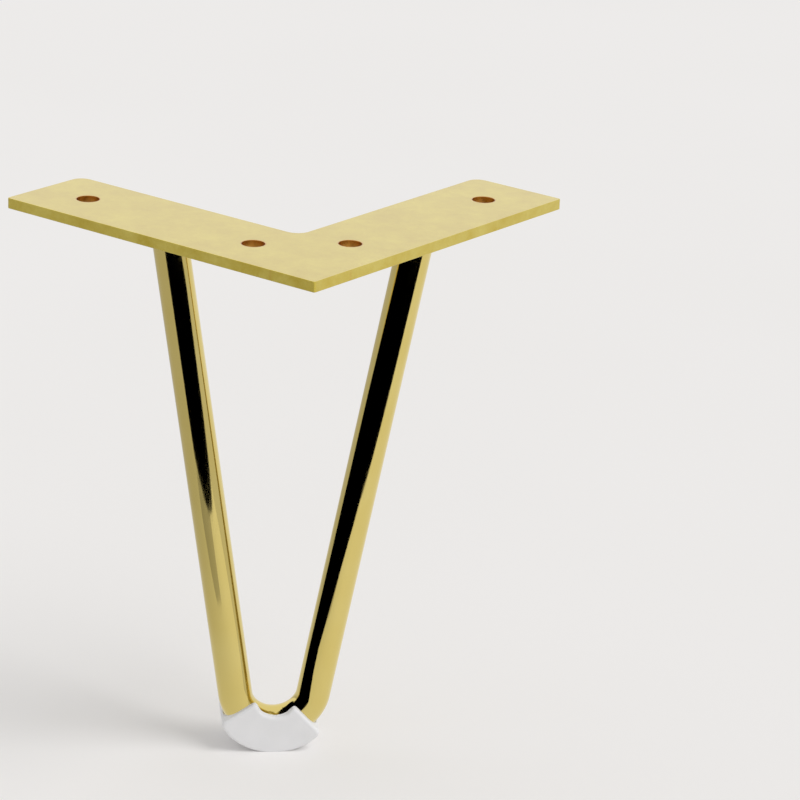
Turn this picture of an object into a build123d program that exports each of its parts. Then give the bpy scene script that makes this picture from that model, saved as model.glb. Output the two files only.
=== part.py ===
from build123d import *
import os
from math import acos, atan2, cos, degrees, hypot, radians, sin, sqrt, tan

# Hairpin leg for a sofa: an L-shaped plate screwed under the frame's corner, one bar bent to a V and
# welded to the plate, and a plastic floor protector clipped round the bend.
# Millimetres and degrees. The origin is on the plate's upper face, where the centre lines of its two arms
# cross. +Z is up, and +Y runs along the line that halves the L, away from its outer corner.

# Overall
leg_height = 165.8          # plate's upper face to the floor

# Plate
arm_length = 110.0          # outer corner to arm end, along the outer edge
arm_width = 30.0
plate_thickness = 3.0
outer_corner_radius = 0.6
outer_tip_radius = 0.6      # arm end, on the L's outer edge
inner_tip_radius = 3.5      # arm end, on the L's inner edge
inner_corner_radius = 4.0
plate_edge_radius = 0.25
hole_diameter = 6.4         # close fit for an M6 screw
hole_pitch = 60.0           # between the two holes of one arm, with the rod midway

# Rod
rod_diameter = 10.0
rod_station = 48.5          # crossing of the centre lines to the rod, along an arm
rod_lean = 7.0              # of the V's plane, towards +Y on the way down
bend_radius = 11.6          # to the rod's centre line

# Welds
weld_size = 2.2             # bead radius in the corner of rod and plate

# Foot cap
foot_clearance = 0.1        # between the rod and the channel
foot_wall = 1.9             # at each side of the rod
foot_sole = 1.6             # under the rod
foot_wrap = 5.5             # height of the front wall above the rod's centre line
foot_back_wrap = 1.6        # height of the back wall, which stays hidden behind the rod
foot_length = 35.4          # along the curve of the sole
foot_lip_length = 15.0      # along the curve of the front wall's upper edge
foot_turn = 6.7             # how far the cap is clipped round towards the -X rod
foot_toe_radius = 1.8       # lower corners of the side walls
foot_lip_radius = 1.1       # upper corners of the side walls
foot_rim_radius = 0.9       # all round the face of each side wall
foot_land = 0.5             # height taken off the lowest edge, level with the floor

# The plate in plan: an arm along each diagonal, holes and rod on its centre line
right_angle = 45.0
left_angle = 180 - right_angle
hole_stations = (rod_station - hole_pitch / 2, rod_station + hole_pitch / 2)
underside = -plate_thickness

# The foot cap's channel and outside, measured from the bend's centre and from the V's plane
channel_outer = bend_radius + rod_diameter / 2 + foot_clearance
channel_half_width = rod_diameter / 2 + foot_clearance
foot_outer = channel_outer + foot_sole
foot_half_width = channel_half_width + foot_wall
sole_half_angle = degrees(foot_length / 2 / foot_outer)
lip_half_angle = degrees(foot_lip_length / 2 / (bend_radius - foot_wrap))

# The cap's rounded front rim is its lowest place, because the V's plane leans
lean = radians(rod_lean)
rim_drop = (foot_outer - foot_rim_radius) * cos(lean) + (foot_half_width - foot_rim_radius) * sin(lean)
foot_drop = rim_drop + foot_rim_radius - foot_land

# The V in its own plane: half its width at the plate, its bend's centre below the plate and half its angle
half_spread = rod_station / sqrt(2)
bend_depth = (leg_height - plate_thickness - foot_drop) / cos(lean)
half_angle = acos(bend_radius / hypot(half_spread, bend_depth)) - atan2(bend_depth, half_spread)

# That plane: X across the leg, Y up along the V and Z out of its front
front = (0, -cos(lean), -sin(lean))
lean_plane = Plane(origin=(0, half_spread, underside), x_dir=(1, 0, 0), z_dir=front)
bend_centre = lean_plane.from_local_coords((0, -bend_depth, 0))
bend_plane = Plane(origin=bend_centre, x_dir=(1, 0, 0), z_dir=front)
underside_plane = Plane(origin=(0, 0, underside))
floor_plane = Plane(origin=(0, 0, -leg_height))


def on_arm(angle, station):
    """Place on an arm's centre line, this far from the origin."""
    return station * cos(radians(angle)), station * sin(radians(angle))


def make_plate():
    """Flat L with rounded corners, softened rims and two screw holes in each arm."""
    near = -arm_width / 2
    far = near + arm_length
    corners = [(near, near), (far, near), (far, -near), (-near, -near), (-near, far), (near, far)]
    right_end = [outer_tip_radius, inner_tip_radius]
    left_end = [inner_tip_radius, outer_tip_radius]
    radii = [outer_corner_radius, *right_end, inner_corner_radius, *left_end]
    outline = Rot(0, 0, right_angle) * make_face(FilletPolyline(corners, radius=radii, close=True).edges())
    plate = extrude(outline, amount=-plate_thickness)
    rims = plate.faces().filter_by(Axis.Z).edges()
    plate = fillet(rims, plate_edge_radius)
    for angle in (right_angle, left_angle):
        for station in hole_stations:
            x, y = on_arm(angle, station)
            plate -= Pos(x, y, underside / 2) * Cylinder(hole_diameter / 2, 2 * plate_thickness)
    return plate


def make_bar():
    """Round bar along the V, running on through the plate."""
    overrun = 2 * rod_diameter
    end = half_spread + overrun * tan(half_angle)
    tip = half_spread / tan(half_angle)
    path = lean_plane * FilletPolyline((-end, overrun), (0, -tip), (end, overrun), radius=bend_radius)
    section = Plane(path @ 0, z_dir=path % 0) * Circle(rod_diameter / 2)
    return sweep(section, path=path)


def make_rod():
    """The bar, cut off at the plate's underside."""
    return split(make_bar(), bisect_by=underside_plane, keep=Keep.BOTTOM)


def make_weld(angle):
    """Rounded bead in the corner between the plate and one rod end."""
    x, y = on_arm(angle, rod_station)
    ring = Pos(x, y, underside) * Torus(rod_diameter / 2, weld_size)
    bead = split(ring, bisect_by=underside_plane, keep=Keep.BOTTOM)
    return bead - make_bar()


def make_wall(wrap):
    """Outline of a side wall, from its lip, this far above the rod's centre line, down to the sole."""
    middle = -90 - foot_turn
    lip = CenterArc((0, 0), bend_radius - wrap, middle - lip_half_angle, 2 * lip_half_angle)
    sole = CenterArc((0, 0), foot_outer, middle - sole_half_angle, 2 * sole_half_angle)
    ends = [Line(lip @ end, sole @ end) for end in (0, 1)]
    wall = make_face([lip, sole, *ends])
    wall = fillet(wall.vertices().group_by(SortBy.DISTANCE)[0], foot_lip_radius)
    return fillet(wall.vertices().group_by(SortBy.DISTANCE)[-1], foot_toe_radius)


def make_foot_cap():
    """Channel that follows the bend: flat front wall, lower back wall and curved sole, open at the top."""
    front_half = extrude(make_wall(foot_wrap), amount=foot_half_width)
    back_half = extrude(make_wall(foot_back_wrap), amount=-foot_half_width)
    cap = front_half + back_half
    sides = cap.faces().filter_by(Axis.Z).sort_by(Axis.Z)
    rims = sides[0].edges() + sides[-1].edges()
    cap = fillet(rims, foot_rim_radius) - Cylinder(channel_outer, 2 * channel_half_width)
    return split(bend_plane * cap, bisect_by=floor_plane, keep=Keep.TOP)


os.makedirs("parts", exist_ok=True)
export_step(make_plate(), "parts/mounting_plate.step")
export_step(make_rod(), "parts/hairpin_rod.step")
export_step(make_weld(left_angle), "parts/left_weld.step")
export_step(make_weld(right_angle), "parts/right_weld.step")
export_step(make_foot_cap(), "parts/foot_cap.step")
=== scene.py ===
from math import acos, atan2, ceil, cos, hypot, pi, radians, sin, sqrt

import bmesh
import bpy
from mathutils import Matrix, Vector


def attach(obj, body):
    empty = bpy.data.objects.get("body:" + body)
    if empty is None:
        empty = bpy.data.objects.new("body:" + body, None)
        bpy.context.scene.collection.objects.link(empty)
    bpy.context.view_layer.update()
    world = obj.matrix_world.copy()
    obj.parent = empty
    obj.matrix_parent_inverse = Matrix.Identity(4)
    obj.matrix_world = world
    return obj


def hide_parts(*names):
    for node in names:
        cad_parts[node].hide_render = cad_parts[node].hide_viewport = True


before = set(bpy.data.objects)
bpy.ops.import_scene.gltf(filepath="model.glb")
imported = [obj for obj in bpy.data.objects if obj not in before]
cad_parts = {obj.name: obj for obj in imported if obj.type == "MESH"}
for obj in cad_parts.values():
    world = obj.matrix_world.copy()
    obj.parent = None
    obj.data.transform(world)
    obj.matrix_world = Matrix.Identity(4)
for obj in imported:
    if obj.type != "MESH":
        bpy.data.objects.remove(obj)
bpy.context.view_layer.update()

# Gold hairpin leg: L-shaped plate, bent bar, weld beads and plastic floor cap.
# Sizes are in millimetres and angles in degrees, as on the drawing, and become metres and radians below.
MM = 0.001

leg_height = 165.8
arm_length = 110.0
arm_width = 30.0
plate_thickness = 3.0
outer_corner_radius = 0.6
outer_tip_radius = 0.6
inner_tip_radius = 3.5
inner_corner_radius = 4.0
plate_edge_radius = 0.25
hole_diameter = 6.4
hole_pitch = 60.0
rod_diameter = 10.0
rod_station = 48.5
rod_lean = 7.0
bend_radius = 11.6
weld_size = 2.2
foot_clearance = 0.1
foot_wall = 1.9
foot_sole = 1.6
foot_wrap = 5.5
foot_back_wrap = 1.6
foot_length = 35.4
foot_lip_length = 15.0
foot_turn = 6.7
foot_toe_radius = 1.8
foot_lip_radius = 1.1
foot_rim_radius = 0.9
foot_land = 0.5
channel_corner_radius = 4.8                 # inside the foot, where the solid has a square corner

# The V that the bar follows, in its own leaning plane, measured from the middle of the bend
rod_radius = rod_diameter / 2
lean = radians(rod_lean)
channel_outer = bend_radius + rod_radius + foot_clearance
channel_half_width = rod_radius + foot_clearance
foot_outer = channel_outer + foot_sole
foot_half_width = channel_half_width + foot_wall
sole_half_angle = foot_length / 2 / foot_outer
lip_half_angle = foot_lip_length / 2 / (bend_radius - foot_wrap)
rim_drop = (foot_outer - foot_rim_radius) * cos(lean) + (foot_half_width - foot_rim_radius) * sin(lean)
foot_drop = rim_drop + foot_rim_radius - foot_land
half_spread = rod_station / sqrt(2)
hole_stations = (rod_station - hole_pitch / 2, rod_station + hole_pitch / 2)
bend_depth = (leg_height - plate_thickness - foot_drop) / cos(lean)
half_angle = acos(bend_radius / hypot(half_spread, bend_depth)) - atan2(bend_depth, half_spread)
straight_length = sqrt(half_spread**2 + bend_depth**2 - bend_radius**2)
bend_centre = Vector((0, half_spread + bend_depth * sin(lean), -plate_thickness - bend_depth * cos(lean)))

# A Mix node's colour sockets, by number because other kinds of mix share their names
COLOUR_A, COLOUR_B, MIXED = 6, 7, 2

# The photograph's camera, in a frame 800 pixels wide
picture_width = 800
focal_pixels = 3557
view_azimuth = -7.81
view_elevation = 19.29
view_roll = 2.30
corner_pixel = Vector((314.7, 282.0))       # where the plate's outer corner shows
corner_distance = 922.7                     # of that corner from the camera, along its axis


def clear_selection():
    """Leaves object mode with nothing selected, ready for the next primitive."""
    if bpy.context.mode != "OBJECT":
        bpy.ops.object.mode_set(mode="OBJECT")
    bpy.ops.object.select_all(action="DESELECT")


def named(name):
    """The primitive just added, with its place and turn put into its mesh."""
    piece = bpy.context.object
    piece.name = name
    piece.data.name = name
    bpy.ops.object.transform_apply(location=True, rotation=True, scale=True)
    return piece


def set_in_place(piece, location=(0, 0, 0), rotation=(0, 0, 0)):
    """Moves and turns a whole piece, and puts that into its mesh."""
    bpy.ops.object.mode_set(mode="OBJECT")
    piece.location = location
    piece.rotation_euler = rotation
    bpy.ops.object.transform_apply(location=True, rotation=True, scale=True)


def select_where(piece, kind, test):
    """In edit mode, selects just the vertices, edges or faces that pass a test."""
    bpy.ops.mesh.select_mode(type=kind)
    bpy.ops.mesh.select_all(action="DESELECT")
    mesh = bmesh.from_edit_mesh(piece.data)
    items = {"VERT": mesh.verts, "EDGE": mesh.edges, "FACE": mesh.faces}[kind]
    for item in items:
        item.select_set(test(item))
    bmesh.update_edit_mesh(piece.data)


def extrude(vector):
    bpy.ops.mesh.extrude_region_move(TRANSFORM_OT_translate={"value": vector})


def cut_away(height, above):
    """Cuts a piece level at a height, drops the part above or below and closes the cut."""
    bpy.ops.object.mode_set(mode="EDIT")
    bpy.ops.mesh.select_all(action="SELECT")
    bpy.ops.mesh.bisect(plane_co=(0, 0, height), plane_no=(0, 0, 1), threshold=0.001 * MM, use_fill=True,
                        clear_outer=above, clear_inner=not above)
    bpy.ops.object.mode_set(mode="OBJECT")


def close_up(piece):
    """Merges doubled points and turns every face outwards."""
    bpy.ops.object.mode_set(mode="EDIT")
    bpy.ops.mesh.select_all(action="SELECT")
    bpy.ops.mesh.remove_doubles(threshold=0.001 * MM)
    bpy.ops.mesh.normals_make_consistent(inside=False)
    bpy.ops.object.mode_set(mode="OBJECT")


def apply_modifier(piece, kind, **settings):
    modifier = piece.modifiers.new(kind.lower(), kind)
    for name, value in settings.items():
        setattr(modifier, name, value)
    bpy.ops.object.modifier_apply(modifier=modifier.name)


def combine(piece, other, operation):
    """Cuts another solid out of a piece or joins it on, and throws the other one away."""
    bpy.context.view_layer.objects.active = piece
    apply_modifier(piece, "BOOLEAN", operation=operation, solver="EXACT", object=other)
    bpy.data.objects.remove(other)


def smooth_over(piece, angle):
    """Shades a piece smooth, with wide faces kept flat up to their rounded rims."""
    clear_selection()
    piece.select_set(True)
    bpy.context.view_layer.objects.active = piece
    bpy.ops.object.shade_smooth_by_angle(angle=radians(angle))
    apply_modifier(piece, "WEIGHTED_NORMAL", keep_sharp=True)


def fit_on(piece, node, material):
    """Makes a piece stand for its CAD node."""
    piece.data.materials.clear()
    piece.data.materials.append(material)
    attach(piece, "root")
    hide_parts(node)


def on_arm(angle, station, height):
    """Place on the centre line of a plate's arm."""
    return Vector((station * cos(radians(angle)), station * sin(radians(angle)), height))


def make_plate():
    """Flat L: a square with two arms drawn out of it, rounded corners, thickness, holes and soft rims."""
    clear_selection()
    half = arm_width / 2 * MM
    reach = (arm_length - arm_width) * MM
    bpy.ops.mesh.primitive_plane_add(size=arm_width * MM)
    plate = named("corner_plate")
    bpy.ops.object.mode_set(mode="EDIT")
    select_where(plate, "EDGE", lambda edge: all(vert.co.x > half / 2 for vert in edge.verts))
    extrude((reach, 0, 0))
    select_where(plate, "EDGE", lambda edge: all(vert.co.y > half / 2 and vert.co.x < 2 * half
                                                 for vert in edge.verts))
    extrude((0, reach, 0))
    bpy.ops.mesh.select_all(action="SELECT")
    bpy.ops.mesh.dissolve_limited(angle_limit=radians(1))
    far = half + reach
    corners = {
        (-half, -half): outer_corner_radius,
        (far, -half): outer_tip_radius,
        (-half, far): outer_tip_radius,
        (far, half): inner_tip_radius,
        (half, far): inner_tip_radius,
        (half, half): inner_corner_radius,
    }
    for (x, y), radius in corners.items():
        select_where(plate, "VERT", lambda vert: hypot(vert.co.x - x, vert.co.y - y) < 0.01 * MM)
        bpy.ops.mesh.bevel(affect="VERTICES", offset=radius * MM, segments=ceil(6 + 2 * radius))
    bpy.ops.mesh.select_all(action="SELECT")
    extrude((0, 0, -plate_thickness * MM))
    set_in_place(plate, rotation=(0, 0, radians(45)))
    close_up(plate)
    for angle in (45, 135):
        for station in hole_stations:
            clear_selection()
            bpy.ops.mesh.primitive_cylinder_add(vertices=96, radius=hole_diameter / 2 * MM,
                                                depth=3 * plate_thickness * MM,
                                                location=on_arm(angle, station, 0) * MM)
            combine(plate, named("screw_hole"), "DIFFERENCE")
    apply_modifier(plate, "BEVEL", width=plate_edge_radius * MM, segments=4, limit_method="ANGLE",
                   angle_limit=radians(50))
    smooth_over(plate, 40)
    return plate


def make_rod():
    """One round bar: down the left, round the bend and up the right, cut off at the plate's underside."""
    clear_selection()
    overrun = rod_diameter
    run = (straight_length + overrun) * MM
    down = Vector((sin(half_angle), 0, -cos(half_angle)))
    left_tangent = bend_radius * MM * Vector((-cos(half_angle), 0, -sin(half_angle)))
    bpy.ops.mesh.primitive_circle_add(vertices=128, radius=rod_radius * MM, fill_type="NGON",
                                      location=left_tangent - run * down, rotation=(0, -half_angle, 0))
    rod = named("bent_bar")
    bpy.ops.object.mode_set(mode="EDIT")
    bpy.ops.mesh.select_all(action="SELECT")
    extrude(run * down)
    bpy.ops.mesh.spin(steps=80, angle=pi - 2 * half_angle, center=(0, 0, 0), axis=(0, 1, 0))
    extrude(run * Vector((sin(half_angle), 0, cos(half_angle))))
    set_in_place(rod, location=bend_centre * MM, rotation=(lean, 0, 0))
    cut_away(-plate_thickness * MM, above=True)
    close_up(rod)
    smooth_over(rod, 40)
    return rod


def make_weld(name, angle):
    """Bead run round a rod end, with the ripples that each dab of the torch leaves."""
    clear_selection()
    ripples = 22
    groove_depth = 0.22
    place = on_arm(angle, rod_station, -plate_thickness) * MM
    bpy.ops.mesh.primitive_torus_add(major_segments=4 * ripples, minor_segments=24, location=place,
                                     major_radius=rod_radius * MM, minor_radius=weld_size * MM)
    weld = named(name)
    bpy.ops.object.mode_set(mode="EDIT")

    def in_groove(vert):
        turn = atan2(vert.co.y - place.y, vert.co.x - place.x) / (2 * pi) * 4 * ripples
        return round(turn) % 4 == 0

    select_where(weld, "VERT", in_groove)
    bpy.ops.transform.shrink_fatten(value=-groove_depth * MM)
    bpy.ops.object.mode_set(mode="OBJECT")
    apply_modifier(weld, "SUBSURF", levels=1, render_levels=1)
    cut_away(-plate_thickness * MM, above=True)
    close_up(weld)
    smooth_over(weld, 60)
    return weld


def make_foot_wall(name, wrap, side):
    """Half of the foot, front (-1) or back (1): a section swung round the bend, ends and rim rounded."""
    clear_selection()
    inner = bend_radius - wrap
    overlap = 1.0                           # past the middle, where the halves join
    end_step = radians(15)                  # one long step at each end leaves room to round the corners
    start = radians(-90 - foot_turn) - sole_half_angle
    section = Vector((cos(start), 0, sin(start))) * (inner + foot_outer) / 2
    section.y = side * (foot_half_width - overlap) / 2
    bpy.ops.mesh.primitive_plane_add(size=1, location=section * MM, rotation=(0, -start, 0))
    bpy.context.object.scale = ((foot_outer - inner) * MM, (foot_half_width + overlap) * MM, 1)
    wall = named(name)
    bpy.ops.object.mode_set(mode="EDIT")
    bpy.ops.mesh.select_all(action="SELECT")
    for steps, angle in ((1, end_step), (48, 2 * (sole_half_angle - end_step)), (1, end_step)):
        bpy.ops.mesh.spin(steps=steps, angle=angle, center=(0, 0, 0), axis=(0, 1, 0))
    bpy.ops.mesh.select_all(action="SELECT")
    bpy.ops.mesh.normals_make_consistent(inside=False)

    def turn(vert):
        return atan2(vert.co.x, -vert.co.z) + radians(foot_turn)

    def at_radius(vert, radius):
        return abs(hypot(vert.co.x, vert.co.z) - radius * MM) < 0.01 * MM

    # The ends splay: the lip reaches further round than the sole
    for end in (-1, 1):
        select_where(wall, "VERT", lambda vert: (at_radius(vert, inner)
                                                 and end * turn(vert) > sole_half_angle - 0.01))
        bpy.ops.transform.rotate(value=end * (lip_half_angle - sole_half_angle), orient_axis="Y",
                                 center_override=(0, 0, 0))

    def is_end(edge, radius):
        across = abs(edge.verts[0].co.y - edge.verts[1].co.y) > foot_half_width * MM
        at_corner = all(at_radius(vert, radius) for vert in edge.verts)
        return across and at_corner and edge.calc_face_angle(0) > radians(60)

    for radius, rounding in ((inner, foot_lip_radius), (foot_outer, foot_toe_radius)):
        select_where(wall, "EDGE", lambda edge: is_end(edge, radius))
        bpy.ops.mesh.bevel(offset=rounding * MM, segments=10)
    bpy.ops.mesh.select_all(action="SELECT")
    bpy.ops.mesh.dissolve_limited(angle_limit=radians(0.1), use_dissolve_boundaries=False)

    def is_rim(edge):
        on_side = all(abs(vert.co.y - side * foot_half_width * MM) < 0.001 * MM for vert in edge.verts)
        return on_side and edge.calc_face_angle(0) > radians(60)

    select_where(wall, "EDGE", is_rim)
    bpy.ops.mesh.bevel(offset=foot_rim_radius * MM, segments=8)
    bpy.ops.object.mode_set(mode="OBJECT")
    return wall


def make_foot():
    """Channel moulded to the bend: a front wall and a lower back one, hollowed for the bar.

    The remesh and the smoothing soften every edge as moulding does. The bar doesn't mirror the foot."""
    grain = 0.17
    foot = make_foot_wall("floor_cap", foot_wrap, -1)
    combine(foot, make_foot_wall("back_wall", foot_back_wrap, 1), "UNION")
    clear_selection()
    bpy.ops.mesh.primitive_cylinder_add(vertices=256, radius=channel_outer * MM,
                                        depth=2 * channel_half_width * MM, rotation=(pi / 2, 0, 0))
    channel = named("bar_channel")
    bpy.ops.object.mode_set(mode="EDIT")
    select_where(channel, "EDGE", lambda edge: abs(edge.verts[0].co.y - edge.verts[1].co.y) < 0.01 * MM)
    bpy.ops.mesh.bevel(offset=channel_corner_radius * MM, segments=16)
    bpy.ops.object.mode_set(mode="OBJECT")
    combine(foot, channel, "DIFFERENCE")
    clear_selection()
    foot.select_set(True)
    set_in_place(foot, location=bend_centre * MM, rotation=(lean, 0, 0))
    apply_modifier(foot, "REMESH", mode="VOXEL", voxel_size=grain * MM)
    apply_modifier(foot, "SMOOTH", factor=0.5, iterations=5)
    cut_away(-leg_height * MM, above=False)
    close_up(foot)
    smooth_over(foot, 40)
    foot.visible_glossy = False
    return foot


def linear(hex_colour):
    """sRGB hex colour as linear red, green, blue and alpha."""
    channels = [int(hex_colour[i:i + 2], 16) / 255 for i in (1, 3, 5)]
    return [c / 12.92 if c <= 0.04045 else ((c + 0.055) / 1.055) ** 2.4 for c in channels] + [1]


def add_node(tree, kind, inputs=None, **settings):
    """Adds one node with its settings, its input values and its links."""
    node = tree.nodes.new(kind)
    for name, value in settings.items():
        setattr(node, name, value)
    for name, value in (inputs or {}).items():
        if isinstance(value, bpy.types.NodeSocket):
            tree.links.new(value, node.inputs[name])
        else:
            node.inputs[name].default_value = value
    return node


def new_material(name):
    """Empty node material with its Object coordinates and its shader."""
    material = bpy.data.materials.new(name)
    material.use_nodes = True
    tree = material.node_tree
    tree.nodes.clear()
    place = add_node(tree, "ShaderNodeTexCoord").outputs["Object"]
    shader = add_node(tree, "ShaderNodeBsdfPrincipled")
    add_node(tree, "ShaderNodeOutputMaterial", {"Surface": shader.outputs["BSDF"]})
    return material, tree, place, shader


def per_metre(size_mm):
    """Texture scale that makes a pattern about this many millimetres wide."""
    return 1 / (size_mm * MM)


def connect(tree, shader, tint, gloss, bump):
    """Gives a shader its colour, its roughness and its fine relief."""
    tree.links.new(tint.outputs[MIXED], shader.inputs["Base Color"])
    tree.links.new(gloss.outputs["Result"], shader.inputs["Roughness"])
    tree.links.new(bump.outputs["Normal"], shader.inputs["Normal"])


def polished_brass_plating():
    """Drawn steel bar, buffed and plated: a mirror with faint lengthwise streaks and a slow waviness,
    so that reflected edges run along it a little unevenly."""
    material, tree, place, shader = new_material("polished_brass_plating")
    cloud = add_node(tree, "ShaderNodeTexNoise", {"Vector": place, "Scale": per_metre(16), "Detail": 2})
    tint = add_node(tree, "ShaderNodeMix", {
        "Factor": cloud.outputs["Fac"], COLOUR_A: linear("#D6C06E"), COLOUR_B: linear("#DECB82")},
        data_type="RGBA")
    along = add_node(tree, "ShaderNodeMapping", {"Vector": place, "Scale": (1, 1, 0.02)})
    streak = add_node(tree, "ShaderNodeTexNoise", {
        "Vector": along.outputs["Vector"], "Scale": per_metre(0.7), "Detail": 3})
    gloss = add_node(tree, "ShaderNodeMapRange", {
        "Value": streak.outputs["Fac"], "From Min": 0.3, "From Max": 0.7, "To Min": 0.07, "To Max": 0.13})
    wave = add_node(tree, "ShaderNodeTexNoise", {"Vector": place, "Scale": per_metre(9), "Detail": 1})
    bump = add_node(tree, "ShaderNodeBump", {
        "Height": wave.outputs["Fac"], "Strength": 0.2, "Distance": 0.05 * MM})
    shader.inputs["Metallic"].default_value = 1
    connect(tree, shader, tint, gloss, bump)
    return material


def satin_brass_plating():
    """Blasted steel plate, plated and lacquered: fine grain that scatters the light, pale clouds where the
    finish varies, a lacquer that pales the face seen at a slant, and painted shade in the screw holes,
    whose bores and rims are coloured a darker amber."""
    material, tree, place, shader = new_material("satin_brass_plating")
    cloud = add_node(tree, "ShaderNodeTexNoise", {
        "Vector": place, "Scale": per_metre(11), "Detail": 6, "Roughness": 0.75})
    spread = add_node(tree, "ShaderNodeMapRange", {
        "Value": cloud.outputs["Fac"], "From Min": 0.3, "From Max": 0.7})
    tint = add_node(tree, "ShaderNodeMix", {
        "Factor": spread.outputs["Result"], COLOUR_A: linear("#C6AB14"), COLOUR_B: linear("#DDCB5E")},
        data_type="RGBA")
    # Distance to the nearest hole's axis, with the left arm folded on to the right one
    folded = add_node(tree, "ShaderNodeVectorMath", {0: place}, operation="ABSOLUTE")
    flat = add_node(tree, "ShaderNodeVectorMath", {
        0: folded.outputs[0], 1: (1, 1, 0)}, operation="MULTIPLY")
    nearest = 1.0
    for station in hole_stations:
        away = add_node(tree, "ShaderNodeVectorMath", {
            0: flat.outputs[0], 1: on_arm(45, station, 0) * MM}, operation="DISTANCE")
        nearest = add_node(tree, "ShaderNodeMath", {
            0: away.outputs["Value"], 1: nearest}, operation="MINIMUM").outputs[0]
    rim = hole_diameter / 2 * MM
    # Painted shade: the bore walls and their rounded rims turn a darker amber, as the shade inside each
    # screw hole
    painted_bore_shade = add_node(tree, "ShaderNodeMapRange", {
        "Value": nearest, "From Min": rim + 0.1 * MM, "From Max": rim + 0.35 * MM,
        "To Min": 1, "To Max": 0})
    tint = add_node(tree, "ShaderNodeMix", {
        "Factor": painted_bore_shade.outputs["Result"], COLOUR_A: tint.outputs[MIXED], COLOUR_B: linear("#C4881A")},
        data_type="RGBA")
    gloss = add_node(tree, "ShaderNodeMapRange", {
        "Value": cloud.outputs["Fac"], "From Min": 0.3, "From Max": 0.7, "To Min": 0.29, "To Max": 0.44})
    # The blasting's grain is about 0.1 mm; it is drawn at 0.5 mm to show
    grain = add_node(tree, "ShaderNodeTexNoise", {"Vector": place, "Scale": per_metre(0.5), "Detail": 2})
    bump = add_node(tree, "ShaderNodeBump", {
        "Height": grain.outputs["Fac"], "Strength": 0.45, "Distance": 0.05 * MM})
    shader.inputs["Metallic"].default_value = 1
    shader.inputs["Coat Weight"].default_value = 1
    shader.inputs["Coat Roughness"].default_value = 0.3
    connect(tree, shader, tint, gloss, bump)
    return material


def moulded_polypropylene():
    """White polypropylene from a spark-eroded mould: satin, with a fine even texture and slight waxy
    clouds."""
    material, tree, place, shader = new_material("moulded_polypropylene")
    cloud = add_node(tree, "ShaderNodeTexNoise", {"Vector": place, "Scale": per_metre(6), "Detail": 2})
    tint = add_node(tree, "ShaderNodeMix", {
        "Factor": cloud.outputs["Fac"], COLOUR_A: linear("#E4E4E5"), COLOUR_B: linear("#EDEDEE")},
        data_type="RGBA")
    # Spark erosion leaves pits of about 0.05 mm; they are drawn at 0.35 mm to show
    pits = add_node(tree, "ShaderNodeTexNoise", {"Vector": place, "Scale": per_metre(0.35), "Detail": 1})
    gloss = add_node(tree, "ShaderNodeMapRange", {
        "Value": pits.outputs["Fac"], "To Min": 0.40, "To Max": 0.52})
    bump = add_node(tree, "ShaderNodeBump", {
        "Height": pits.outputs["Fac"], "Strength": 0.15, "Distance": 0.03 * MM})
    shader.inputs["IOR"].default_value = 1.49
    connect(tree, shader, tint, gloss, bump)
    return material


def make_camera():
    """Camera at the photograph's view, placed so that the plate's outer corner falls on its pixel."""
    azimuth, elevation, roll = radians(view_azimuth), radians(view_elevation), radians(view_roll)
    back = Vector((sin(azimuth) * cos(elevation), -cos(azimuth) * cos(elevation), sin(elevation)))
    across = Vector((cos(azimuth), sin(azimuth), 0))
    above = back.cross(across)
    right = cos(roll) * across + sin(roll) * above
    up = cos(roll) * above - sin(roll) * across
    offset = (corner_pixel - Vector((picture_width, picture_width)) / 2) * corner_distance / focal_pixels
    corner = Vector((0, -arm_width / sqrt(2), 0))
    place = corner - offset.x * right + offset.y * up + corner_distance * back
    data = bpy.data.cameras.new("photo_camera")
    data.sensor_width = 36
    data.lens = data.sensor_width * focal_pixels / picture_width
    data.clip_start, data.clip_end = 0.01, 50
    camera = bpy.data.objects.new("photo_camera", data)
    turn = Matrix((right, up, back)).transposed().to_4x4()
    camera.matrix_world = Matrix.Translation(place * MM) @ turn
    bpy.context.scene.collection.objects.link(camera)
    bpy.context.scene.camera = camera


def upright(start, end, outline):
    """Places on an upright board over two places in plan: distance along it and height above the floor."""
    start, end = Vector(start), Vector(end)
    along = (end - start).normalized()
    return [Vector((*(start + distance * along), height - leg_height)) for distance, height in outline]


def level(height, outline):
    """Places in plan on a level board, this high above the floor."""
    return [Vector((*place, height - leg_height)) for place in outline]


def make_card(name, outline, hides=1.0, hides_behind=1.0):
    """Black studio card that only reflections show, and how much it hides from its front and from back."""
    mesh = bpy.data.meshes.new(name)
    mesh.from_pydata([point * MM for point in outline], [], [range(len(outline))])
    card = bpy.data.objects.new(name, mesh)
    bpy.context.scene.collection.objects.link(card)
    material, tree, place, shader = new_material(name)
    shader.inputs["Base Color"].default_value = (0, 0, 0, 1)
    shader.inputs["Specular IOR Level"].default_value = 0
    from_behind = add_node(tree, "ShaderNodeNewGeometry").outputs["Backfacing"]
    hidden = add_node(tree, "ShaderNodeMapRange", {
        "Value": from_behind, "To Min": hides, "To Max": hides_behind})
    # A reflection of a reflection shows it only faintly
    bounce = add_node(tree, "ShaderNodeLightPath").outputs["Glossy Depth"]
    fading = add_node(tree, "ShaderNodeMapRange", {
        "Value": bounce, "From Min": 1, "From Max": 2, "To Min": 1, "To Max": 0.15})
    alpha = add_node(tree, "ShaderNodeMath", {
        0: hidden.outputs["Result"], 1: fading.outputs["Result"]}, operation="MULTIPLY")
    tree.links.new(alpha.outputs[0], shader.inputs["Alpha"])
    mesh.materials.append(material)
    for ray in ("camera", "diffuse", "transmission", "volume_scatter", "shadow"):
        setattr(card, "visible_" + ray, False)


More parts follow.
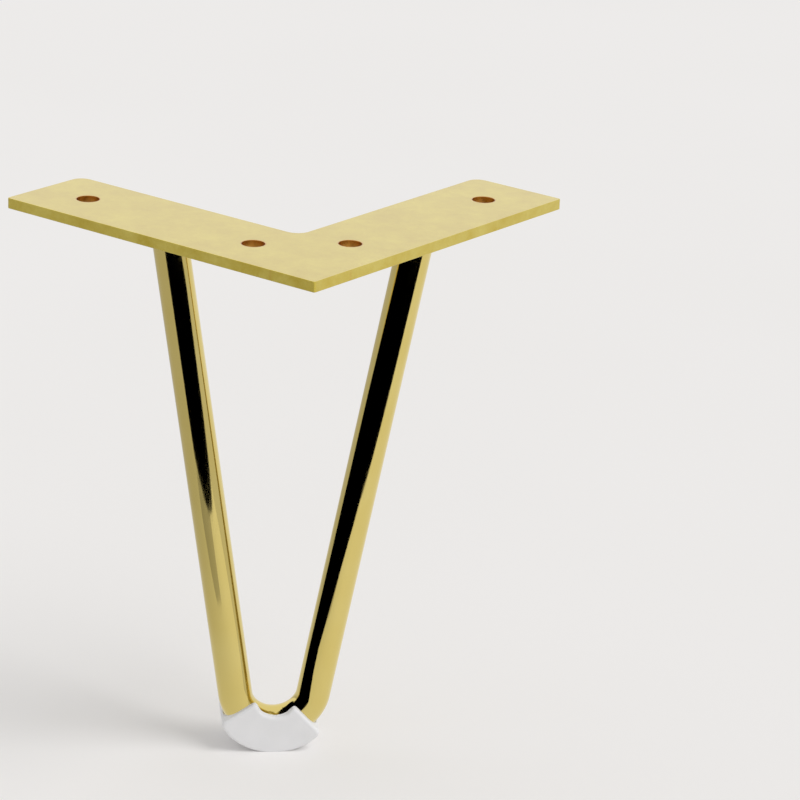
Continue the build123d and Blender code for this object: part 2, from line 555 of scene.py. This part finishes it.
def make_studio():
    """Pale floor, soft light from above and the right, and cards that give the polished bar its stripes."""
    clear_selection()
    bpy.ops.mesh.primitive_plane_add(size=12, location=(0, 0, -leg_height * MM))
    floor = named("studio_floor")
    material, tree, place, shader = new_material("pale_paper")
    fibre = add_node(tree, "ShaderNodeTexNoise", {"Vector": place, "Scale": per_metre(300), "Detail": 2})
    tint = add_node(tree, "ShaderNodeMix", {
        "Factor": fibre.outputs["Fac"], COLOUR_A: linear("#F3F1EF"), COLOUR_B: linear("#F7F5F4")},
        data_type="RGBA")
    tree.links.new(tint.outputs[MIXED], shader.inputs["Base Color"])
    shader.inputs["Roughness"].default_value = 1
    shader.inputs["Specular IOR Level"].default_value = 0
    # Polished surfaces see the floor as lit from the right
    across = add_node(tree, "ShaderNodeSeparateXYZ", {"Vector": place}).outputs["X"]
    lit = add_node(tree, "ShaderNodeMapRange", {
        "Value": across, "From Min": -140 * MM, "From Max": 60 * MM, "To Min": 0.56, "To Max": 0.93},
        interpolation_type="SMOOTHSTEP")
    glow = add_node(tree, "ShaderNodeEmission", {"Strength": lit.outputs["Result"]})
    is_gloss = add_node(tree, "ShaderNodeLightPath").outputs["Is Glossy Ray"]
    mix = add_node(tree, "ShaderNodeMixShader", {
        "Fac": is_gloss, 1: shader.outputs["BSDF"], 2: glow.outputs["Emission"]})
    tree.links.new(mix.outputs[0], tree.nodes["Material Output"].inputs["Surface"])
    floor.data.materials.append(material)

    world = bpy.data.worlds.new("studio")
    world.use_nodes = True
    bpy.context.scene.world = world
    tree = world.node_tree
    tree.nodes.clear()
    is_gloss = add_node(tree, "ShaderNodeLightPath").outputs["Is Glossy Ray"]
    strength = add_node(tree, "ShaderNodeMapRange", {"Value": is_gloss, "To Min": 0.62, "To Max": 1.0})
    sky = add_node(tree, "ShaderNodeBackground", {
        "Color": (1, 1, 1, 1), "Strength": strength.outputs["Result"]})
    add_node(tree, "ShaderNodeOutputWorld", {"Surface": sky.outputs["Background"]})

    key = bpy.data.lights.new("key_light", "SUN")
    key.energy = 1.3
    key.angle = radians(35)
    lamp = bpy.data.objects.new("key_light", key)
    lamp.rotation_euler = Vector((-0.7, 0.45, -0.9)).to_track_quat("-Z", "Y").to_euler()
    lamp.visible_glossy = False
    bpy.context.scene.collection.objects.link(lamp)

    # Broad card in front of the leg: the stripe down the left rod and over the upper half of the right one
    make_card("front_card", upright((0, -40), (1, -40), (
        (-105, 95), (-99, 11), (-61, 18), (19, 25), (60, 33), (95, 48), (116, 68), (139, 82), (70, 118),
        (13, 128), (-40, 128))))
    # Card between the rods, dark on its right face: the right rod's stripe, down to the bend and round it
    make_card("middle_card", upright((0, 58), (45, -60), (
        (66, 150), (64, 53), (42, 54), (32, 49.5), (25, 41.5), (18.5, 30), (17, 22), (17, 12),
        (6.5, 12), (6, 30), (8, 45), (12, 75), (17, 110), (30, 158))), hides_behind=0.25)
    # Small card over the bend, dark from below: carries that stripe on to the middle of the bend
    make_card("bend_card", level(22, (
        (-0.6, 45), (-25, 45), (-25, 70), (-14, 70), (-9.5, 65.5), (-5.2, 59.6), (-3, 57), (-1.6, 53.5),
        (-0.6, 50))), hides_behind=0)
    # Grey sheet on the floor: the faint streak below the left rod's dark stripe
    make_card("floor_card", level(1, (
        (-94, -16), (-66, -7), (-47, -5), (-32, -14.5), (-17, -20.5), (-16, -37), (-13, -54), (-5, -78),
        (-60, -70), (-105, -40))), hides=0.38, hides_behind=0.38)


make_camera()
brass = satin_brass_plating()
polished = polished_brass_plating()
plastic = moulded_polypropylene()
fit_on(make_plate(), "mounting_plate", brass)
fit_on(make_rod(), "hairpin_rod", polished)
fit_on(make_weld("left_bead", 135), "left_weld", brass)
fit_on(make_weld("right_bead", 45), "right_weld", brass)
fit_on(make_foot(), "foot_cap", plastic)
make_studio()
bpy.context.scene.view_settings.view_transform = "Standard"
